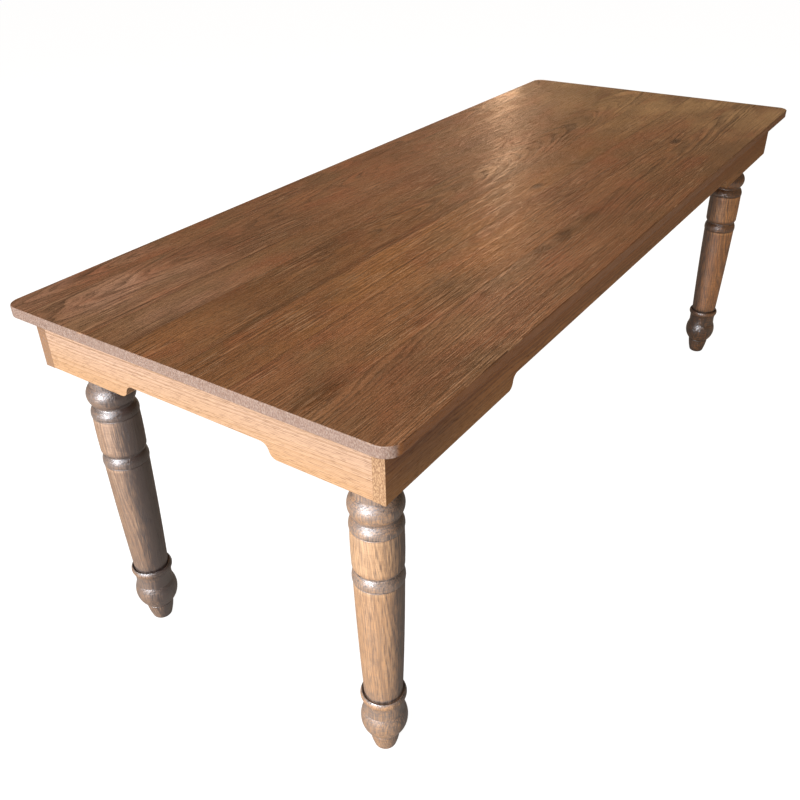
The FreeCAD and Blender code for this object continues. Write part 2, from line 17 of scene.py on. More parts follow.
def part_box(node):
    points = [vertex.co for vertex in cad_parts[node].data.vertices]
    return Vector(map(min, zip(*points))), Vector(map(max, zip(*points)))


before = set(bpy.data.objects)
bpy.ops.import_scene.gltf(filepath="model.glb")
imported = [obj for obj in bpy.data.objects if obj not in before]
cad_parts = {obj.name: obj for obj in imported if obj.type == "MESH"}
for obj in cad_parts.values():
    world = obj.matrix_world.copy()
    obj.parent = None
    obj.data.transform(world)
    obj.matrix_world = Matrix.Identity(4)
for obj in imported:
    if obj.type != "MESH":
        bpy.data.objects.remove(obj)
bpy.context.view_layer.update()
MM = 0.001
top_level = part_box("top_board_1")[1].z
print(f"{len(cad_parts)} nodes, top at {top_level / MM:.0f} mm")

# %% [markdown]
# ## The camera
#
# The picture was taken by someone standing off the left end of the table and looking down along it.
# A camera can be placed by eye, but perspective gives it away: a table has long straight edges, so
# its place and lens can be worked out from them. Here the camera has a place, a point of the top
# that it looks at, and a small roll, because the picture isn't quite level. The picture is square,
# so one focal length in pixels gives the lens, and the shift moves the frame by a few pixels.

# %% Stand the camera where the picture was taken
PICTURE_WIDTH = 800
SENSOR_WIDTH_MM = 36
focal_pixels = 856.9
centre_pixels = (399.2, 414.9)
camera_place = Vector((-1.7225, -0.9069, 1.3852))
looked_at = Vector((-0.9339, -0.3608, top_level))
roll_degrees = -1.18

camera_data = bpy.data.cameras.new("camera")
camera_data.sensor_width = SENSOR_WIDTH_MM
camera_data.lens = focal_pixels / PICTURE_WIDTH * SENSOR_WIDTH_MM
camera_data.shift_x = 0.5 - centre_pixels[0] / PICTURE_WIDTH
camera_data.shift_y = centre_pixels[1] / PICTURE_WIDTH - 0.5
camera = bpy.data.objects.new("camera", camera_data)
bpy.context.scene.collection.objects.link(camera)
gaze = looked_at - camera_place
turn = gaze.to_track_quat("-Z", "Y") @ Quaternion((0, 0, 1), math.radians(roll_degrees))
camera.location = camera_place
camera.rotation_euler = turn.to_euler()
bpy.context.scene.camera = camera
bpy.context.scene.view_settings.view_transform = "Standard"
print(f"lens {camera_data.lens:.1f} mm, {gaze.length:.2f} m from the nearest corner")

# %% [markdown]
# ## Nodes and colours
#
# A material is a graph. One small function adds a node to it: it takes the node's kind, what goes into
# its sockets, in order or by name, and its settings. What goes in may be a number, a colour, a socket
# of another node, or a whole node, which stands for its output. Colours are written as the hex values
# that a paint shop or a web page would use. Those are sRGB, and the renderer works in linear light, so
# one function turns the one into the other.

# %% One function for nodes and one for colours
def linear(hex_colour):
    """The linear colour, with alpha, of an sRGB hex value."""
    parts = [int(hex_colour[start:start + 2], 16) / 255 for start in (1, 3, 5)]
    return (*Color(parts).from_srgb_to_scene_linear(), 1.0)


def add_node(tree, kind, inputs=(), **settings):
    """Add a node; its inputs are values, hex colours, sockets or nodes, in order or by socket."""
    node = tree.nodes.new(kind)
    for name, value in settings.items():
        setattr(node, name, value)
    named = inputs if isinstance(inputs, dict) else dict(enumerate(inputs))
    for socket, source in named.items():
        if isinstance(source, bpy.types.Node):
            source = next(output for output in source.outputs if output.enabled)
        if isinstance(source, bpy.types.NodeSocket):
            tree.links.new(source, node.inputs[socket])
        else:
            node.inputs[socket].default_value = linear(source) if isinstance(source, str) else source
    return node


def new_material(name):
    """An empty material and its graph."""
    material = bpy.data.materials.new(name)
    material.use_nodes = True
    material.node_tree.nodes.clear()
    return material, material.node_tree


print("mid brown in linear light:", [round(part, 3) for part in linear("#82593f")])

# %% [markdown]
# ## The room
#
# The table stands on a plain pale floor in front of white. A white floor that is lit until it clips
# would also throw a great deal of light up at the table, so the white is given to the camera alone:
# the Light Path node tells a ray that left the camera from one that bounced. The bounced ray sees an
# ordinary warm grey floor and a dim room. A ray that was mirrored by varnish meets a far wall, a little
# brighter than the room, which is what the top shows toward its far end. What the camera sees of the
# floor is its glow and a little of the light on it, which together are just white.

# %% Lay the floor and paint the world
FLOOR_SIZE = 40
FLOOR_GLOW = 0.96
ROOM_GLOW = 0.17
FAR_WALL_GLOW = 0.19
floor_mesh = bpy.data.meshes.new("floor")
work = bmesh.new()
bmesh.ops.create_grid(work, x_segments=1, y_segments=1, size=FLOOR_SIZE / 2)
work.to_mesh(floor_mesh)
work.free()
floor = bpy.data.objects.new("floor", floor_mesh)
bpy.context.scene.collection.objects.link(floor)

floor_material, tree = new_material("pale_floor")
seen = add_node(tree, "ShaderNodeLightPath").outputs["Is Camera Ray"]
bounced = add_node(tree, "ShaderNodeBsdfDiffuse", {"Color": "#b3aaa0"})
lit = add_node(tree, "ShaderNodeBsdfDiffuse", {"Color": "#7a7a7a"})
glow = add_node(tree, "ShaderNodeEmission", {"Strength": FLOOR_GLOW})
pale = add_node(tree, "ShaderNodeAddShader", [lit, glow])
both = add_node(tree, "ShaderNodeMixShader", [seen, bounced, pale])
add_node(tree, "ShaderNodeOutputMaterial", {"Surface": both})
floor_mesh.materials.append(floor_material)

world = bpy.data.worlds.new("room")
bpy.context.scene.world = world
world.use_nodes = True
world.node_tree.nodes.clear()
tree = world.node_tree
rays = add_node(tree, "ShaderNodeLightPath").outputs
room = add_node(tree, "ShaderNodeBackground", {"Color": "#ffe4c8", "Strength": ROOM_GLOW})
far_wall = add_node(tree, "ShaderNodeBackground", {"Color": "#ffe2bf", "Strength": FAR_WALL_GLOW})
white = add_node(tree, "ShaderNodeBackground", {"Color": "#ffffff", "Strength": 1.0})
unseen = add_node(tree, "ShaderNodeMixShader", [rays["Is Glossy Ray"], room, far_wall])
both = add_node(tree, "ShaderNodeMixShader", [rays["Is Camera Ray"], unseen, white])
add_node(tree, "ShaderNodeOutputWorld", {"Surface": both})
print("floor", FLOOR_SIZE, "m across")

# %% [markdown]
# ## The light
#
# Daylight comes from the left and low, through a wide opening off the table's left end: the end apron
# and the left sides of the legs are bright, and the light fades along the table. A panel high above
# that opening is the sky, and shows as a silvery gleam on the round turnings. A soft panel overhead
# lights the top. A tall slot of light far off to the right draws the slanting band of sheen across
# the top; its upper half is the stronger one, because the near part of the band is seen more steeply
# and mirrors less. A weak panel at the back keeps the far side from going black.

# %% Hang the panels of light
Panel = namedtuple("Panel", "name place aim width height watts colour gleams")
PANELS = [
    Panel("daylight_opening", (-5.5, 0.0, 1.5), (-0.98, 0.0, 0.45), 1.8, 1.8, 315, "#f6f8ff", True),
    Panel("sky_above_opening", (-3.0, -0.2, 2.6), (-0.9, 0.0, 0.6), 2.8, 1.4, 76, "#f2f6ff", True),
    Panel("soft_overhead", (0.5, 0.0, 3.3), (0.3, 0.0, 0.0), 3.2, 2.2, 52, "#fff4e6", False),
    Panel("tall_slot_upper", (2.75, 1.43, 2.2), (0.0, 0.0, 0.9), 0.13, 0.9, 2.8, "#ffcfa6", True),
    Panel("tall_slot_lower", (2.75, 1.43, 1.3), (0.0, 0.0, 0.9), 0.13, 0.9, 2.0, "#ffcfa6", True),
    Panel("back_fill", (1.9, 2.1, 3.3), (0.2, 0.2, 0.4), 2.0, 1.6, 40, "#fff0dc", False),
]
for panel in PANELS:
    light_data = bpy.data.lights.new(panel.name, "AREA")
    light_data.shape = "RECTANGLE"
    light_data.size = panel.width
    light_data.size_y = panel.height
    light_data.energy = panel.watts
    light_data.color = linear(panel.colour)[:3]
    light = bpy.data.objects.new(panel.name, light_data)
    bpy.context.scene.collection.objects.link(light)
    light.location = panel.place
    light.visible_glossy = panel.gleams
    facing = Vector(panel.aim) - Vector(panel.place)
    light.rotation_euler = facing.to_track_quat("-Z", "Y").to_euler()
    print(panel.name, f"{facing.length:.1f} m away, {panel.watts} W")

# %% [markdown]
# ## Marks that follow the grain
#
# Most marks in wood are long along the grain and narrow across it: pores, flecks, streaks of stain. One
# pattern makes them all, noise whose place is stretched to the real length and width of the mark. Other
# marks sit in one spot, such as a knot or a stain, so a second pattern fades away from a spot.

# %% Stretched noise and nearness to a spot
def stretched_noise(tree, place, length, width, seed, detail=2.0, depth=None):
    """Noise drawn out along the grain: features a length long, a width across and a depth through."""
    scale = (1 / length, 1 / width, 1 / (depth or width))
    drawn_out = add_node(tree, "ShaderNodeVectorMath", [place, scale], operation="MULTIPLY")
    sockets = {"Vector": drawn_out, "W": seed, "Scale": 1.0, "Detail": detail}
    return add_node(tree, "ShaderNodeTexNoise", sockets, noise_dimensions="4D")


def nearness(tree, place, along, across, length, width):
    """How near a point is to a spot of the piece, in mm: 1 in its middle, fading over its size."""
    middle = (along * MM, across * MM, 0)
    away = add_node(tree, "ShaderNodeVectorMath", [place, middle], operation="SUBTRACT")
    scale = (1 / (length * MM), 1 / (width * MM), 0)
    scaled = add_node(tree, "ShaderNodeVectorMath", [away, scale], operation="MULTIPLY")
    squared = add_node(tree, "ShaderNodeVectorMath", [scaled, scaled], operation="DOT_PRODUCT")
    falling = add_node(tree, "ShaderNodeMath", [squared, -1.0], operation="MULTIPLY")
    return add_node(tree, "ShaderNodeMath", [falling], operation="EXPONENT")


print("two patterns ready:", stretched_noise.__name__, "and", nearness.__name__)

# %% [markdown]
# ## The figure of oak
#
# Oak is a ring-porous wood: each year's ring starts with a line of wide pores that show as dark
# dashes, and goes on with dense, lighter wood. A flat picture of grain would stretch over the edges
# of a board. So the grain is made as a solid figure instead, as in the tree: rings are cylinders
# round the tree's heart, and a board is a cut through them. A cut beside the heart shows arches, a
# cut far from it straight lines, and an end shows arcs, all from one rule. Noise lets the rings wander,
# and a knot lifts them.

# %% Rings of a tree as a solid figure
Figure = namedtuple("Figure", "heart_across heart_below climb ring wander knots line", defaults=((), 5))
Knot = namedtuple("Knot", "along across size")
ALONG_X = (0, 0, 0)
ALONG_Y = (0, 0, math.pi / 2)
ALONG_Z = (0, -math.pi / 2, 0)
DRIFT = (480 * MM, 90 * MM)
KNOT_STRETCH = 2.4


def wandering(tree, place, figure, seed):
    """The place in the piece, shifted across the grain so that its rings wander."""
    drift = stretched_noise(tree, place, *DRIFT, seed, 4.0).outputs["Color"]
    centred = add_node(tree, "ShaderNodeVectorMath", [drift, (0.5, 0.5, 0.5)], operation="SUBTRACT")
    reach = (0, figure.wander * MM, figure.wander * MM)
    shift = add_node(tree, "ShaderNodeVectorMath", [centred, reach], operation="MULTIPLY")
    return add_node(tree, "ShaderNodeVectorMath", [place, shift], operation="ADD")


def tree_radius(tree, place, wandered, figure):
    """How far a point lies from the heart of its tree, and how near to a knot."""
    parts = add_node(tree, "ShaderNodeSeparateXYZ", [wandered]).outputs
    across = add_node(tree, "ShaderNodeMath", [parts["Y"], figure.heart_across * MM], operation="SUBTRACT")
    climb = add_node(tree, "ShaderNodeMath", [parts["X"], figure.climb], operation="MULTIPLY")
    below = add_node(tree, "ShaderNodeMath", [parts["Z"], figure.heart_below * MM], operation="ADD")
    depth = add_node(tree, "ShaderNodeMath", [below, climb], operation="ADD")
    knots = None
    for knot in figure.knots:
        swell = nearness(tree, place, knot.along, knot.across, knot.size * KNOT_STRETCH, knot.size)
        lift = add_node(tree, "ShaderNodeMath", [swell, knot.size * MM], operation="MULTIPLY")
        depth = add_node(tree, "ShaderNodeMath", [depth, lift], operation="ADD")
        knots = add_node(tree, "ShaderNodeMath", [knots or swell, swell], operation="MAXIMUM")
    from_heart = add_node(tree, "ShaderNodeCombineXYZ", {"Y": across, "Z": depth})
    return add_node(tree, "ShaderNodeVectorMath", [from_heart], operation="LENGTH"), knots


print("rings drift over", [round(size / MM) for size in DRIFT], "mm")

# %% [markdown]
# ## Lines, pores and streaks
#
# What the eye reads as oak is the sum of several patterns on that figure: dark lines that follow the
# rings, pores crowded into the spring wood, broad streaks and clouds where the wood took stain
# differently, pale flecks, and small marks on a cut end. One function wires them all and returns them by
# name, so that each finish can use them as it likes. Each starts its noise at another place.

# %% Every pattern of a piece of oak
PORE_LENGTH = 30 * MM
# Real pores and flecks are 0.3 to 0.5 mm wide; they are drawn wider, because finer ones would not show.
PORE_WIDTH = 1.2 * MM
FLECK_WIDTH = 1.6 * MM
STREAK = (700 * MM, 30 * MM)
CLOUD = (420 * MM, 160 * MM)
END_MARK = (60 * MM, 1.4 * MM)
END_MARK_DEPTH = 4 * MM
PORE_SEED, STREAK_SEED, CLOUD_SEED, FLECK_SEED, END_SEED = 3, 7, 11, 17, 31
LINE_SEED_SPREAD = 3.7


def ring_lines(tree, radius, figure, seed):
    """Lines that follow the rings, 1 on light wood and 0 on dark, and the share of spring wood."""
    lined = add_node(tree, "ShaderNodeMath", [radius, figure.line * MM], operation="DIVIDE")
    started = add_node(tree, "ShaderNodeMath", [lined, seed * LINE_SEED_SPREAD], operation="ADD")
    sockets = {"W": started, "Scale": 1.0, "Detail": 4.0, "Roughness": 0.65}
    noise = add_node(tree, "ShaderNodeTexNoise", sockets, noise_dimensions="1D")
    year = add_node(tree, "ShaderNodeMath", [radius, figure.ring * MM], operation="DIVIDE")
    season = add_node(tree, "ShaderNodeMath", [year], operation="FRACT")
    lines = add_node(tree, "ShaderNodeMapRange", [noise, 0.40, 0.54])
    return lines, add_node(tree, "ShaderNodeMapRange", [season, 0.0, 0.5, 1.0, 0.0])


def oak_figure(tree, centre, lay, figure, seed, pore_length=PORE_LENGTH):
    """Wire the solid figure of one piece of oak; the result names the figure's parts."""
    read = add_node(tree, "ShaderNodeTexCoord").outputs
    laid = {"Vector": read["Object"], "Location": centre, "Rotation": lay}
    place = add_node(tree, "ShaderNodeMapping", laid, vector_type="TEXTURE")
    wandered = wandering(tree, place, figure, seed)
    radius, knots = tree_radius(tree, place, wandered, figure)
    lines, spring = ring_lines(tree, radius, figure, seed)
    pore_noise = stretched_noise(tree, place, pore_length, PORE_WIDTH, seed + PORE_SEED)
    pores = add_node(tree, "ShaderNodeMapRange", [pore_noise, 0.52, 0.61])
    crowded = add_node(tree, "ShaderNodeMapRange", [spring, 0.0, 1.0, 0.3, 1.0])
    streaks = stretched_noise(tree, wandered, *STREAK, seed + STREAK_SEED, 4.0)
    clouds = stretched_noise(tree, place, *CLOUD, seed + CLOUD_SEED)
    flecks = stretched_noise(tree, place, pore_length * 2, FLECK_WIDTH, seed + FLECK_SEED)
    ends = stretched_noise(tree, place, *END_MARK, seed + END_SEED, 2.0, END_MARK_DEPTH)
    return {
        "object": read["Object"],
        "normal": read["Normal"],
        "place": wandered,
        "knots": knots,
        "spring": spring,
        "lines": lines,
        "dark_lines": add_node(tree, "ShaderNodeMath", [1.0, lines], operation="SUBTRACT"),
        "pores": add_node(tree, "ShaderNodeMath", [pores, crowded], operation="MULTIPLY"),
        "streaks": add_node(tree, "ShaderNodeMapRange", [streaks, 0.32, 0.68]),
        "clouds": add_node(tree, "ShaderNodeMapRange", [clouds, 0.35, 0.65]),
        "flecks": add_node(tree, "ShaderNodeMapRange", [flecks, 0.56, 0.68]),
        "end_marks": add_node(tree, "ShaderNodeMapRange", [ends, 0.42, 0.62]),
    }


print("pores", PORE_WIDTH / MM, "mm wide, streaks", STREAK[1] / MM, "mm")

# %% [markdown]
# ## Coats and varnish
#
# A finisher works in coats, and so does this graph: a coat has a pattern that says where it lies, the
# most that it covers, and a colour, and each is laid over the ones before. Faces that look along the
# grain are cut ends and take their own coat. On top goes a satin varnish. The open pores stay matt in it
# and make small hollows, which break up the sheen.

# %% Lay coats of colour and a varnish
COLOUR_UNDER, COLOUR_OVER = 6, 7
PORE_MATT = 0.22
LINE_HEIGHT = 0.35
HOLLOW_STRENGTH = 0.6


def coated(tree, colour, *coats):
    """Lay coats over a colour; each has a pattern, the most that it covers, and a colour."""
    for pattern, most, coat in coats:
        cover = add_node(tree, "ShaderNodeMath", [pattern, most], operation="MULTIPLY")
        laid = {"Factor": cover, COLOUR_UNDER: colour, COLOUR_OVER: coat}
        colour = add_node(tree, "ShaderNodeMix", laid, data_type="RGBA")
    return colour


def facing_share(tree, figure, axis, low=0.55, high=0.85):
    """1 where a face looks along an axis, such as that of the grain, and 0 where it looks across it."""
    facing = add_node(tree, "ShaderNodeVectorMath", [figure["normal"], axis], operation="DOT_PRODUCT")
    either_way = add_node(tree, "ShaderNodeMath", [facing], operation="ABSOLUTE")
    return add_node(tree, "ShaderNodeMapRange", [either_way, low, high])


def varnished(tree, colour, figure, roughness, relief, gleam=0.4, index=1.5):
    """A satin varnish: the open pores stay matt and make small hollows in it."""
    matt = add_node(tree, "ShaderNodeMath", [figure["pores"], PORE_MATT], operation="MULTIPLY")
    rough = add_node(tree, "ShaderNodeMath", [matt, roughness], operation="ADD")
    raised = add_node(tree, "ShaderNodeMath", [figure["lines"], LINE_HEIGHT], operation="MULTIPLY")
    hollow = add_node(tree, "ShaderNodeMath", [raised, figure["pores"]], operation="SUBTRACT")
    felt = {"Strength": HOLLOW_STRENGTH, "Distance": relief, "Height": hollow}
    looks = {"Base Color": colour, "Roughness": rough, "IOR": index, "Specular IOR Level": gleam}
    looks["Normal"] = add_node(tree, "ShaderNodeBump", felt)
    varnish = add_node(tree, "ShaderNodeBsdfPrincipled", looks)
    add_node(tree, "ShaderNodeOutputMaterial", {"Surface": varnish})


print("pores are", PORE_MATT, "rougher than the varnish round them")

# %% [markdown]
# ## The seven boards
#
# The top is stained oak, and no two boards took the stain alike. Each board has its own place in the
# tree and its own three tones: one for its dark lines and two for its streaks. Patches that are paler,
# redder or darker than the rest are listed with their place on the board, their size, their tone and
# how much they cover. Along the seam of the two front boards lie small dark marks with ragged edges,
# where the surface is torn.

# %% Tones and patches of the boards
Board = namedtuple("Board", "figure dark light cloud patches", defaults=((),))
Patch = namedtuple("Patch", "along across length width tone share ragged", defaults=(False,))
# The pale patches near the far end of the first five boards, 860 to 930 mm along, are painted sheen.
BOARDS = {
    "top_board_1": Board(
        Figure(70, 45, 0.02, 4.4, 32),
        "#422d1c", "#8b6041", "#6b462e",
        (Patch(-700, 10, 150, 70, "#946b4d", 0.35), Patch(300, 0, 480, 90, "#563722", 0.5),
         Patch(-930, 0, 160, 90, "#7d5a40", 0.3), Patch(-190, 54, 170, 16, "#432814", 0.4),
         Patch(-310, 62, 36, 12, "#38210f", 0.8, True), Patch(-228, 57, 44, 15, "#351f0e", 0.85, True),
         Patch(-78, 59, 56, 11, "#3b2412", 0.8, True), Patch(-10, 46, 56, 9, "#402814", 0.7, True),
         Patch(930, 0, 220, 110, "#ad875c", 0.5)),
    ),
    "top_board_2": Board(
        Figure(-240, 60, 0.01, 4.2, 26, (Knot(519, -50, 19),)),
        "#432c1b", "#8d6140", "#6c472f",
        (Patch(-420, 10, 330, 75, "#a8713d", 0.42), Patch(-960, 0, 170, 90, "#6e4c35", 0.3),
         Patch(930, 0, 260, 100, "#a27c52", 0.45), Patch(-904, -56, 48, 14, "#38210f", 0.75, True),
         Patch(-962, -48, 50, 22, "#3b2412", 0.65, True), Patch(-686, -54, 22, 10, "#402610", 0.7, True)),
    ),
    "top_board_3": Board(
        Figure(230, 40, 0.01, 4.0, 24, (Knot(15, -28, 16),)),
        "#412a19", "#8b603c", "#694529",
        (Patch(-480, 0, 330, 70, "#ae7640", 0.45), Patch(-970, 0, 160, 90, "#5f402c", 0.4),
         Patch(860, 0, 320, 90, "#ab865c", 0.5)),
    ),
    "top_board_4": Board(
        Figure(10, 40, 0.06, 4.6, 30),
        "#3d2817", "#7e5736", "#633f26",
        (Patch(-680, 25, 220, 34, "#4f331d", 0.5), Patch(900, 0, 300, 80, "#a67d54", 0.4),
         Patch(-900, 0, 150, 55, "#986a47", 0.4), Patch(-885, -57, 90, 4, "#301c0c", 0.75)),
    ),
    "top_board_5": Board(
        Figure(-150, 45, 0.0, 4.0, 26),
        "#442d1c", "#8b6040", "#6f4930",
        (Patch(900, 0, 200, 80, "#a9825a", 0.45), Patch(560, 0, 150, 60, "#583c26", 0.45),
         Patch(-880, 0, 190, 60, "#a9866f", 0.5)),
    ),
    "top_board_6": Board(
        Figure(28, 20, -0.05, 4.8, 34),
        "#412b1b", "#8a6043", "#6e4933",
        (Patch(-870, 10, 200, 75, "#ae8b76", 0.65), Patch(560, 20, 200, 60, "#5a3e28", 0.3),
         Patch(930, 30, 130, 60, "#8a6a4c", 0.3),
         Patch(865, -20, 60, 20, "#3f2a1b", 0.5), Patch(-650, 52, 60, 24, "#4b3020", 0.5)),
    ),
    "top_board_7": Board(
        Figure(8, 18, 0.05, 4.4, 28),
        "#3f2a1b", "#885e41", "#6d4937",
        (Patch(120, -14, 260, 8, "#402716", 0.6), Patch(-900, 0, 210, 50, "#a08070", 0.4)),
    ),
}
print(sum(len(board.patches) for board in BOARDS.values()), "patches on", len(BOARDS), "boards")

# %% [markdown]
# ## Stain, age, painted sheen and grain of the top
#
# Over its patches the top has aged as one piece, and its far end is painted lighter and greyer: painted
# sheen, where the top is seen at a grazing angle. In places the stain turned reddish or olive, old varnish
# has gone amber and warms every tone, and hands left soft smudges. Stain soaks into the open pores and
# darkens them, so the grain then goes on top of all this as fine dark lines and pores. It is clear in some
# places and nearly wiped away in others, which keeps it from looking printed.

# %% Coats for stain, age, painted sheen and grain
RAGGED = (24 * MM, 5 * MM)
TINT = (150 * MM, 75 * MM)
SMUDGE = (190 * MM, 100 * MM)
CLEAR = (260 * MM, 110 * MM)
# The stipple is pores that the plane cut short, drawn wider than they are, as above.
STIPPLE = (7 * MM, 1.6 * MM)
SMUDGE_SEED, TINT_SEED, CLEAR_SEED, STIPPLE_SEED, RAGGED_SEED = 47, 61, 67, 71, 83
FAR_SHEEN_FROM, FAR_SHEEN_TO = 0.40, 0.95
AMBER_SHARE = 0.2


def patched(tree, colour, figure, patches, seed):
    """Lay the piece's own patches; a ragged one is torn along the grain."""
    noise = stretched_noise(tree, figure["place"], *RAGGED, seed + RAGGED_SEED, 4.0)
    ragged = add_node(tree, "ShaderNodeMapRange", [noise, 0.3, 0.7, -0.55, 0.45])
    for patch in patches:
        spot = nearness(tree, figure["place"], patch.along, patch.across, patch.length, patch.width)
        if patch.ragged:
            torn = add_node(tree, "ShaderNodeMath", [spot, ragged], operation="ADD")
            spot = add_node(tree, "ShaderNodeMapRange", [torn, 0.35, 0.55])
        colour = coated(tree, colour, (spot, patch.share, patch.tone))
    return colour


def aged(tree, colour, figure, seed):
    """Paint the far end lighter as painted sheen, tint the stain in places, and lay amber varnish and
    smudges over it.
    """
    run = add_node(tree, "ShaderNodeSeparateXYZ", [figure["object"]]).outputs["X"]
    far_end_sheen = add_node(tree, "ShaderNodeMapRange", [run, FAR_SHEEN_FROM, FAR_SHEEN_TO])
    tints = stretched_noise(tree, figure["object"], *TINT, seed + TINT_SEED, 3.0).outputs["Color"]
    tint = add_node(tree, "ShaderNodeSeparateColor", [tints]).outputs
    reddish = add_node(tree, "ShaderNodeMapRange", [tint["Red"], 0.48, 0.64])
    olive = add_node(tree, "ShaderNodeMapRange", [tint["Green"], 0.48, 0.64])
    smudge_noise = stretched_noise(tree, figure["object"], *SMUDGE, seed + SMUDGE_SEED, 3.0)
    smudges = add_node(tree, "ShaderNodeMapRange", [smudge_noise, 0.47, 0.66])
    return coated(
        tree,
        colour,
        # painted sheen: the far end lighter and greyer, as seen at a grazing angle
        (far_end_sheen, 0.5, "#bfa275"),
        (reddish, 0.55, "#834c34"),
        (olive, 0.5, "#6a573c"),
        (1.0, AMBER_SHARE, "#8c5424"),
        (smudges, 0.36, "#4a3422"),
    )


def grained(tree, colour, figure, dark, seed):
    """Draw the grain: lines and flecks that are clear only in places, spring wood, pores and knots. The
    pale flecks are partly wood and partly painted glints.
    """
    clear_noise = stretched_noise(tree, figure["object"], *CLEAR, seed + CLEAR_SEED, 3.0)
    clear = add_node(tree, "ShaderNodeMapRange", [clear_noise, 0.42, 0.60, 0.18, 0.74])
    lines = add_node(tree, "ShaderNodeMath", [figure["dark_lines"], clear], operation="MULTIPLY")
    flecks = add_node(tree, "ShaderNodeMath", [figure["flecks"], clear], operation="MULTIPLY")
    stipple_noise = stretched_noise(tree, figure["place"], *STIPPLE, seed + STIPPLE_SEED)
    stipple = add_node(tree, "ShaderNodeMapRange", [stipple_noise, 0.50, 0.64])
    colour = coated(
        tree,
        colour,
        (lines, 1.0, dark),
        (figure["spring"], 0.45, "#3f2817"),
        (figure["pores"], 0.6, "#38230f"),
        (stipple, 0.48, "#38240f"),
        # pale flecks: partly wood, partly painted glints where the brushed grain catches the light
        (flecks, 0.65, "#bb9370"),
    )
    if figure["knots"]:
        heart = add_node(tree, "ShaderNodeMapRange", [figure["knots"], 0.55, 1.0])
        colour = coated(tree, colour, (heart, 0.85, "#2c1a0e"))
    return colour


print("amber varnish covers", AMBER_SHARE, "of every tone")

# %% [markdown]
# ## Edges and joints of the top
#
# The ends of the boards drank more stain and look grey, their sides are warmer, and their undersides
# were left almost bare. Where two boards meet, dirt has settled in the joint, and along the outer arris
# the stain is rubbed through in places. Each of these depends on where a point is or which way it faces,
# so it can be read from the coordinates and the normal, without touching the mesh.

# %% Coats for ends, joints and the rubbed arris
SEAM_WIDTH = 1.5 * MM
RUB_WIDTH = 2.2 * MM
RUB_SPOT = 28 * MM
RUB_SEED = 23.0
top_low = Vector((min(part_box(node)[0].x for node in BOARDS), min(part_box(node)[0].y for node in BOARDS)))
top_high = -top_low


def seam_share(tree, figure, seams):
    """1 on the line of a glued joint, fading within its width."""
    across = add_node(tree, "ShaderNodeSeparateXYZ", [figure["object"]]).outputs["Y"]
    found = None
    for seam in seams:
        beside = add_node(tree, "ShaderNodeMath", [across, seam], operation="SUBTRACT")
        away = add_node(tree, "ShaderNodeMath", [beside], operation="ABSOLUTE")
        near = add_node(tree, "ShaderNodeMapRange", [away, 0.0, SEAM_WIDTH, 1.0, 0.0])
        found = add_node(tree, "ShaderNodeMath", [found or near, near], operation="MAXIMUM")
    return found


def rubbed_share(tree, figure, seed):
    """1 in patches along the upper arris of the top, where hands have rubbed the stain through."""
    parts = add_node(tree, "ShaderNodeSeparateXYZ", [figure["object"]]).outputs
    insets = []
    for axis, edge in (("X", top_high.x), ("Y", top_high.y)):
        out = add_node(tree, "ShaderNodeMath", [parts[axis]], operation="ABSOLUTE")
        insets.append(add_node(tree, "ShaderNodeMath", [edge, out], operation="SUBTRACT"))
    inset = add_node(tree, "ShaderNodeMath", insets, operation="MINIMUM")
    under = add_node(tree, "ShaderNodeMath", [top_level, parts["Z"]], operation="SUBTRACT")
    away = add_node(tree, "ShaderNodeMath", [inset, under], operation="ADD")
    near = add_node(tree, "ShaderNodeMapRange", [away, RUB_WIDTH * 0.4, RUB_WIDTH, 1.0, 0.0])
    spots = {"Vector": figure["object"], "W": seed + RUB_SEED, "Scale": 1 / RUB_SPOT, "Detail": 3.0}
    noise = add_node(tree, "ShaderNodeTexNoise", spots, noise_dimensions="4D")
    rubbed = add_node(tree, "ShaderNodeMapRange", [noise, 0.60, 0.68])
    return add_node(tree, "ShaderNodeMath", [near, rubbed], operation="MULTIPLY")


def edged(tree, colour, figure, sides_at, seed):
    """Grey the ends, warm the sides, bare the underside, dirty the joints and rub the arris."""
    ends = facing_share(tree, figure, (1, 0, 0), 0.2, 0.5)
    cut = coated(tree, "#866e61", (figure["end_marks"], 1.0, "#a28d7f"))
    up = add_node(tree, "ShaderNodeSeparateXYZ", [figure["normal"]]).outputs["Z"]
    seams = [level for level in sides_at if abs(level) < top_high.y - SEAM_WIDTH]
    not_ends = add_node(tree, "ShaderNodeMath", [1.0, ends], operation="SUBTRACT")
    joints = [seam_share(tree, figure, seams), not_ends]
    return coated(
        tree,
        colour,
        (ends, 0.85, cut),
        (facing_share(tree, figure, (0, 1, 0), 0.9, 0.99), 0.75, "#a86c36"),
        (add_node(tree, "ShaderNodeMapRange", [up, -0.5, -0.9]), 0.75, "#9a7651"),
        (add_node(tree, "ShaderNodeMath", joints, operation="MULTIPLY"), 0.65, "#35210f"),
        (rubbed_share(tree, figure, seed), 0.7, "#c09670"),
    )


print("top reaches", [round(edge / MM) for edge in top_high], "mm from its middle")

# %% [markdown]
# ## Finish the boards
#
# The boards were planed, brushed and varnished satin. Each is built up in the order in which it got its
# looks: two tones in streaks, the patches, age, grain, edges, and the varnish over all.

# %% Finish for the seven boards
BOARD_ROUGHNESS = 0.28
BOARD_RELIEF = 1.0 * MM
BOARD_SEED_STEP = 5.3


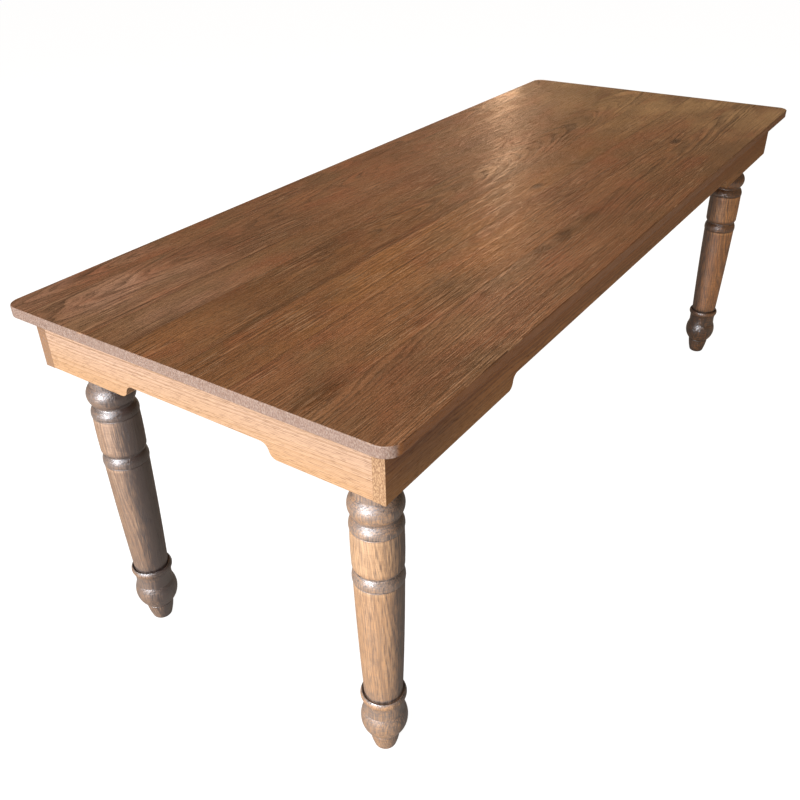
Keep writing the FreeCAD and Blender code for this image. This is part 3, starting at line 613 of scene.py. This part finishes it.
def stained_oak_board(node, board, seed):
    """Stained oak, planed, brushed and varnished satin: brown with fine dark pores and soft streaks."""
    material, tree = new_material(f"stained_oak_{node}")
    low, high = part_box(node)
    figure = oak_figure(tree, (low + high) / 2, ALONG_X, board.figure, seed)
    colour = coated(tree, board.cloud, (figure["streaks"], 1.0, board.light))
    colour = patched(tree, colour, figure, board.patches, seed)
    colour = aged(tree, colour, figure, seed)
    colour = grained(tree, colour, figure, board.dark, seed)
    colour = edged(tree, colour, figure, (low.y, high.y), seed)
    varnished(tree, colour, figure, BOARD_ROUGHNESS, BOARD_RELIEF)
    return material


board_finishes = {}
for number, (node, board) in enumerate(BOARDS.items()):
    board_finishes[node] = stained_oak_board(node, board, number * BOARD_SEED_STEP)
    print(node, "finished,", len(board_finishes[node].node_tree.nodes), "nodes")

# %% [markdown]
# ## The aprons
#
# The aprons are the same oak under the same stain, but their wood is straighter and paler, and golden
# toward its lower edge. The long aprons run past the short ones, so their end grain shows as a narrow
# upright strip at each corner of the table's ends. Only the lay of the grain changes from piece to
# piece: along X for the long ones and along Y for the short ones.

# %% Finish for the four aprons
Apron = namedtuple("Apron", "lay axis figure dark light cloud end patches", defaults=((),))
LONG_TONES = ("#9b6332", "#c78647", "#b1753c")
SHORT_TONES = ("#a18065", "#c1a087", "#b2906e", "#ad8f6e")
APRONS = {
    "front_apron": Apron(
        ALONG_X, (1, 0, 0), Figure(0, 22, 0.02, 3.4, 34, line=4.5), *LONG_TONES, "#bd9b76",
        (Patch(-890, 0, 150, 90, "#5f3b21", 0.6),),
    ),
    "back_apron": Apron(
        ALONG_X, (1, 0, 0), Figure(10, 26, -0.02, 3.6, 30, line=4.5), *LONG_TONES, "#7c6a5e",
    ),
    "left_end_apron": Apron(ALONG_Y, (0, 1, 0), Figure(0, 190, 0.02, 3.0, 14, line=3.2), *SHORT_TONES),
    "right_end_apron": Apron(ALONG_Y, (0, 1, 0), Figure(10, 170, 0.02, 3.2, 14, line=3.2), *SHORT_TONES),
}
APRON_PORE_LENGTH = 15 * MM
GOLDEN_BELOW, GOLDEN_FULL = 62 * MM, 8 * MM
APRON_ROUGHNESS = 0.42
APRON_RELIEF = 0.3 * MM
APRON_SEED, APRON_SEED_STEP = 40, 6.1


def stained_oak_apron(node, apron, seed):
    """Straight-grained oak, planed and varnished satin: honey brown with short dark pore dashes."""
    material, tree = new_material(f"stained_oak_{node}")
    low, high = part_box(node)
    figure = oak_figure(tree, (low + high) / 2, apron.lay, apron.figure, seed, APRON_PORE_LENGTH)
    wood = ((figure["lines"], 1.0, apron.light), (figure["clouds"], 0.4, apron.cloud))
    colour = coated(tree, apron.dark, *wood)
    colour = patched(tree, colour, figure, apron.patches, seed)
    height = add_node(tree, "ShaderNodeSeparateXYZ", [figure["object"]]).outputs["Z"]
    heights = [height, low.z + GOLDEN_BELOW, low.z + GOLDEN_FULL]
    cut = coated(tree, "#84664c", (figure["end_marks"], 1.0, apron.end))
    colour = coated(
        tree,
        colour,
        (add_node(tree, "ShaderNodeMapRange", heights), 0.42, "#bd8c4f"),
        (figure["spring"], 0.30, "#76502f"),
        (figure["pores"], 0.75, "#5f3c20"),
        (figure["flecks"], 0.30, "#d0ad88"),
        (facing_share(tree, figure, apron.axis), 0.8, cut),
    )
    varnished(tree, colour, figure, APRON_ROUGHNESS, APRON_RELIEF)
    return material


apron_finishes = {}
for number, (node, apron) in enumerate(APRONS.items()):
    apron_finishes[node] = stained_oak_apron(node, apron, APRON_SEED + number * APRON_SEED_STEP)
    print(node, "finished")

# %% [markdown]
# ## Stain and painted sheen on a turned leg
#
# A turner cuts every hollow and bead across the grain, and cut grain drinks stain: the bulbs, rings and
# collars came out grey brown, the long straight barrel and shaft stayed honey coloured, and the grooves are
# nearly black with old polish. Part of that grey is painted sheen: the upper faces of the bulb and the vase
# are given more of it than the tan under them. Thin pale bands on the collar and under the rings are
# painted highlights. So the depth of stain follows the height on the leg. A colour ramp holds the list of
# heights with the depth at each, from rubbed through tan and stained to dirty. Spots drawn along the grain
# and round the leg, as the lathe left it, make that depth uneven, most of all where it is deep.

# %% Depth of stain and painted sheen by height
LEG_TOP = 640
# The lathe left fine rings, about half a millimetre apart; they are drawn coarser, so that they show.
LATHE_MARK = 1.4 * MM
LATHE_SPOT = (16 * MM, 16 * MM)
MOTTLE = (30 * MM, 1.8 * MM)
MOTTLE_SEED, LATHE_SEED = 41, 53
FOOT_FROM, FOOT_FULL = 160 * MM, 140 * MM
# In this list the rise from 557 to 580 mm on the bulb and from 50 to 104 mm on the vase is partly stain and
# partly painted sheen. The pale stops at 416 and 524 mm under the rings, and from 139 to 147 mm on the
# collar, are painted highlights.
LEG_STAIN = [
    (0, 0.45), (41, 0.42), (45, 0.95), (50, 0.42), (104, 0.56), (118, 0.62), (134, 0.52), (139, 0.22),
    (147, 0.28), (149, 0.95), (153, 0.95), (157, 0.44), (185, 0.32), (260, 0.26), (410, 0.25), (416, 0.08),
    (419, 0.1), (420.5, 1.0), (424, 0.62), (439, 0.66), (444, 1.0), (448, 0.55), (456, 0.13), (518, 0.13),
    (524, 0.05), (527, 0.1), (528.5, 1.0), (532, 0.66), (545, 0.62), (551, 0.8), (557, 0.42), (580, 0.62),
]
Stain = namedtuple("Stain", "depth mottle spots spread")


def listed_stain(tree, height):
    """The depth of stain that the list gives for a height on the leg."""
    level = add_node(tree, "ShaderNodeMapRange", [height, 0.0, LEG_TOP * MM])
    ramp = add_node(tree, "ShaderNodeValToRGB", [level])
    stops = ramp.color_ramp.elements
    while len(stops) < len(LEG_STAIN):
        stops.new(1.0)
    for stop, (place, stain) in zip(stops, LEG_STAIN):
        stop.position = place / LEG_TOP
        stop.color = (stain, stain, stain, 1.0)
    return ramp


def leg_stain(tree, figure, foot_stain, seed):
    """The uneven depth of stain on a leg, and the patterns that make it so."""
    height = add_node(tree, "ShaderNodeSeparateXYZ", [figure["object"]]).outputs["Z"]
    listed = listed_stain(tree, height)
    mottle = stretched_noise(tree, figure["place"], *MOTTLE, seed + MOTTLE_SEED, 5.0)
    lathe_marks = stretched_noise(tree, figure["object"], *LATHE_SPOT, seed + LATHE_SEED, 3.0, LATHE_MARK)
    spots = add_node(tree, "ShaderNodeMath", [mottle, lathe_marks], operation="ADD")
    spread = add_node(tree, "ShaderNodeMapRange", [listed, 0.25, 0.55, 0.28, 1.0])
    centred = add_node(tree, "ShaderNodeMapRange", [spots, 0.7, 1.3, -0.34, 0.34])
    spotted = add_node(tree, "ShaderNodeMath", [centred, spread], operation="MULTIPLY")
    cloudy = add_node(tree, "ShaderNodeMapRange", [figure["clouds"], 0.0, 1.0, -0.06, 0.10])
    uneven = add_node(tree, "ShaderNodeMath", [cloudy, spotted], operation="ADD")
    foot = add_node(tree, "ShaderNodeMapRange", [height, FOOT_FROM, FOOT_FULL, 0.0, foot_stain])
    added = add_node(tree, "ShaderNodeMath", [uneven, foot], operation="ADD")
    depth = add_node(tree, "ShaderNodeMath", [listed, added], operation="ADD")
    return Stain(depth, mottle, spots, spread)


print(len(LEG_STAIN), "depths of stain up to", LEG_TOP, "mm")

# %% [markdown]
# ## The turned legs
#
# Each leg has three tones, rubbed, tan and stained, which are laid by the depth of stain. Stained rings are
# worn back to tan in specks and dirty in others. One side of each leg gets painted shade: a coat of dark
# follows the way the surface faces, with a streaky edge along the grain. Old wax makes the stained turnings
# gleam, while the tan wood between them is duller.

# %% Finish for the four legs
LegTone = namedtuple("LegTone", "rubbed tan stained unwiped reach foot", defaults=(0.0,))
# The stained tones are grey and a little blue partly as stain and partly as a painted reflection of the sky
# in the wax.
LEGS = {
    "leg_front_left": LegTone("#dcb081", "#c39364", "#6f6d6d", (0.57, -0.82, 0), (0.28, 0.85)),
    "leg_back_left": LegTone("#cfa784", "#8e6c4e", "#645e5d", (0.57, -0.82, 0), (-0.10, 0.46)),
    "leg_front_right": LegTone("#ffbb6e", "#bf7d40", "#403229", (-0.2, 0.98, 0), (0.1, 0.8), 0.45),
    "leg_back_right": LegTone("#c29d74", "#a57c52", "#5f4b38", (-0.2, -0.98, 0), (0.3, 1.0)),
}
LEG_FIGURE = Figure(70, 30, 0.03, 3.4, 30, line=1.5)
LEG_PORE_LENGTH = 42 * MM
RUBBED, TAN, STAINED, DIRT_FROM, DIRTY = 0.0, 0.25, 0.7, 0.82, 1.0
LEG_DULL, LEG_WAXED = 0.50, 0.28
LEG_RELIEF = 0.4 * MM
WAX_GLEAM, WAX_INDEX = 1.0, 1.7
LEG_SEED, LEG_SEED_STEP = 80, 4.7


def painted_shade_share(tree, figure, stain, tone):
    """1 on the side of a leg that gets painted shade, with an edge that is streaky along the grain."""
    facing = [figure["normal"], tone.unwiped]
    turned = add_node(tree, "ShaderNodeVectorMath", facing, operation="DOT_PRODUCT")
    streaks = add_node(tree, "ShaderNodeMapRange", [stain.mottle, 0.35, 0.65, -0.22, 0.22])
    streaked = add_node(tree, "ShaderNodeMath", [turned, streaks], operation="ADD")
    return add_node(tree, "ShaderNodeMapRange", [streaked, *tone.reach])


def turned_oak_leg(node, tone, seed):
    """Oak turned on a lathe, stained and waxed: long dark pores, grey rings that are partly painted sheen,
    a soft gleam.
    """
    material, tree = new_material(f"turned_oak_{node}")
    low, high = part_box(node)
    figure = oak_figure(tree, (low + high) / 2, ALONG_Z, LEG_FIGURE, seed, LEG_PORE_LENGTH)
    stain = leg_stain(tree, figure, tone.foot, seed)
    worn = add_node(tree, "ShaderNodeMapRange", [stain.spots, 0.94, 0.78])
    specks = add_node(tree, "ShaderNodeMapRange", [stain.spots, 1.04, 1.22])
    colour = coated(
        tree,
        tone.rubbed,
        (add_node(tree, "ShaderNodeMapRange", [stain.depth, RUBBED, TAN]), 1.0, tone.tan),
        (figure["dark_lines"], 0.46, "#5c3e2a"),
        (figure["flecks"], 0.35, "#d3b492"),
        (add_node(tree, "ShaderNodeMapRange", [stain.mottle, 0.53, 0.62]), 0.40, "#6b4a31"),
        (figure["spring"], 0.30, "#4a3225"),
        (add_node(tree, "ShaderNodeMapRange", [stain.depth, TAN, STAINED]), 0.72, tone.stained),
        (add_node(tree, "ShaderNodeMath", [worn, stain.spread], operation="MULTIPLY"), 0.32, tone.tan),
        (add_node(tree, "ShaderNodeMath", [specks, stain.spread], operation="MULTIPLY"), 0.4, "#33271f"),
        (figure["pores"], 0.72, "#35241a"),
        (add_node(tree, "ShaderNodeMapRange", [stain.depth, DIRT_FROM, DIRTY]), 0.8, "#2a1f18"),
        # painted shade on one side of the leg, set by the way the surface faces
        (painted_shade_share(tree, figure, stain, tone), 0.9, "#2a1f1f"),
    )
    shine = add_node(tree, "ShaderNodeMapRange", [stain.depth, TAN, STAINED, LEG_DULL, LEG_WAXED])
    varnished(tree, colour, figure, shine, LEG_RELIEF, WAX_GLEAM, WAX_INDEX)
    return material


leg_finishes = {}
for number, (node, tone) in enumerate(LEGS.items()):
    leg_finishes[node] = turned_oak_leg(node, tone, LEG_SEED + number * LEG_SEED_STEP)
    print(node, "finished,", len(leg_finishes[node].node_tree.nodes), "nodes")

# %% [markdown]
# ## What holds it together
#
# Under the top nobody stained or varnished anything. The braces, bearers and buttons are bare oak
# straight from the saw, pale and dry, with the saw's marks across the grain. The dowels are beech,
# the dense pinkish wood that dowels are made of, with short brown flecks. The bolts, washers, nuts
# and screws are steel with a thin bright zinc plating, slightly clouded and a little blue.

# %% Finishes for the hidden pieces
SAWN_FIGURE = Figure(60, 700, 0.02, 3.2, 20)
SAW_MARK = 5 * MM
# A wave node of scale 1 repeats about every tau / 20 metres.
WAVE_LENGTH = math.tau / 20
SAW_RELIEF = 0.3 * MM
BEECH_FLECK = (4 * MM, 0.8 * MM)
BEECH_SEED = 2.0
ZINC_CLOUD = 6 * MM


def sawn_oak(name, lay, seed):
    """Bare oak off the saw: pale, dry and matt, with faint ridges across it."""
    material, tree = new_material(name)
    figure = oak_figure(tree, (0, 0, 0), lay, SAWN_FIGURE, seed)
    colour = coated(
        tree,
        "#a98660",
        (figure["streaks"], 1.0, "#c2a078"),
        (figure["spring"], 0.25, "#8d6b47"),
        (figure["pores"], 0.45, "#6e5033"),
    )
    sawn = {"Vector": figure["object"], "Scale": WAVE_LENGTH / SAW_MARK, "Distortion": 1.5}
    ridges = add_node(tree, "ShaderNodeTexWave", sawn, bands_direction="DIAGONAL")
    felt = {"Strength": 0.3, "Distance": SAW_RELIEF, "Height": ridges}
    looks = {"Base Color": colour, "Roughness": 0.78, "Normal": add_node(tree, "ShaderNodeBump", felt)}
    bare = add_node(tree, "ShaderNodeBsdfPrincipled", looks)
    add_node(tree, "ShaderNodeOutputMaterial", {"Surface": bare})
    return material


def turned_beech(name):
    """Beech dowel rod: smooth, pinkish and even, with short darker flecks along it."""
    material, tree = new_material(name)
    place = add_node(tree, "ShaderNodeTexCoord").outputs["Object"]
    turned = {"Vector": place, "Rotation": ALONG_Y}
    laid = add_node(tree, "ShaderNodeMapping", turned, vector_type="TEXTURE")
    noise = stretched_noise(tree, laid, *BEECH_FLECK, BEECH_SEED)
    flecks = add_node(tree, "ShaderNodeMapRange", [noise, 0.54, 0.66])
    colour = coated(tree, "#cfa583", (flecks, 0.6, "#9c6f4c"))
    smooth = add_node(tree, "ShaderNodeBsdfPrincipled", {"Base Color": colour, "Roughness": 0.6})
    add_node(tree, "ShaderNodeOutputMaterial", {"Surface": smooth})
    return material


def zinc_plated_steel(name):
    """Bright zinc plating: a clear metal with soft clouds of blue grey."""
    material, tree = new_material(name)
    place = add_node(tree, "ShaderNodeTexCoord").outputs["Object"]
    cloudy = {"Vector": place, "Scale": 1 / ZINC_CLOUD, "Detail": 3.0}
    noise = add_node(tree, "ShaderNodeTexNoise", cloudy)
    clouds = add_node(tree, "ShaderNodeMapRange", [noise, 0.35, 0.65])
    colour = coated(tree, "#a9adb3", (clouds, 1.0, "#c6c8ca"))
    rough = add_node(tree, "ShaderNodeMapRange", [noise, 0.3, 0.7, 0.28, 0.42])
    looks = {"Base Color": colour, "Roughness": rough, "Metallic": 1.0}
    plated = add_node(tree, "ShaderNodeBsdfPrincipled", looks)
    add_node(tree, "ShaderNodeOutputMaterial", {"Surface": plated})
    return material


bearer_oak = sawn_oak("sawn_oak_bearer", ALONG_Y, 120)
brace_oak = sawn_oak("sawn_oak_brace", (0, 0, -math.pi / 4), 133)
opposite_brace_oak = sawn_oak("sawn_oak_opposite_brace", (0, 0, math.pi / 4), 139)
button_oak = sawn_oak("sawn_oak_button", ALONG_X, 147)
dowel_beech = turned_beech("turned_beech")
plated_steel = zinc_plated_steel("zinc_plated_steel")
print("six finishes for the hidden pieces")

# %% [markdown]
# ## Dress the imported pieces
#
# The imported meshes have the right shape, so they stay as they are, and each gets its finish in its
# material slot. The braces lie across the corners, so the grain of two of them runs one way and of
# the other two the other way.

# %% Give every node its finish
finishes = {**board_finishes, **apron_finishes, **leg_finishes}
finishes["apron_dowels"] = dowel_beech
finishes["top_buttons"] = button_oak
for number in (1, 2, 3):
    finishes[f"cross_bearer_{number}"] = bearer_oak
for corner in ("front_left", "back_right"):
    finishes[f"corner_brace_{corner}"] = brace_oak
for corner in ("front_right", "back_left"):
    finishes[f"corner_brace_{corner}"] = opposite_brace_oak
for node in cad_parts:
    finish = finishes.get(node, plated_steel)
    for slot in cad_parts[node].material_slots:
        slot.material = finish
print(len(finishes), "wooden nodes and", len(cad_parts) - len(finishes), "steel ones")
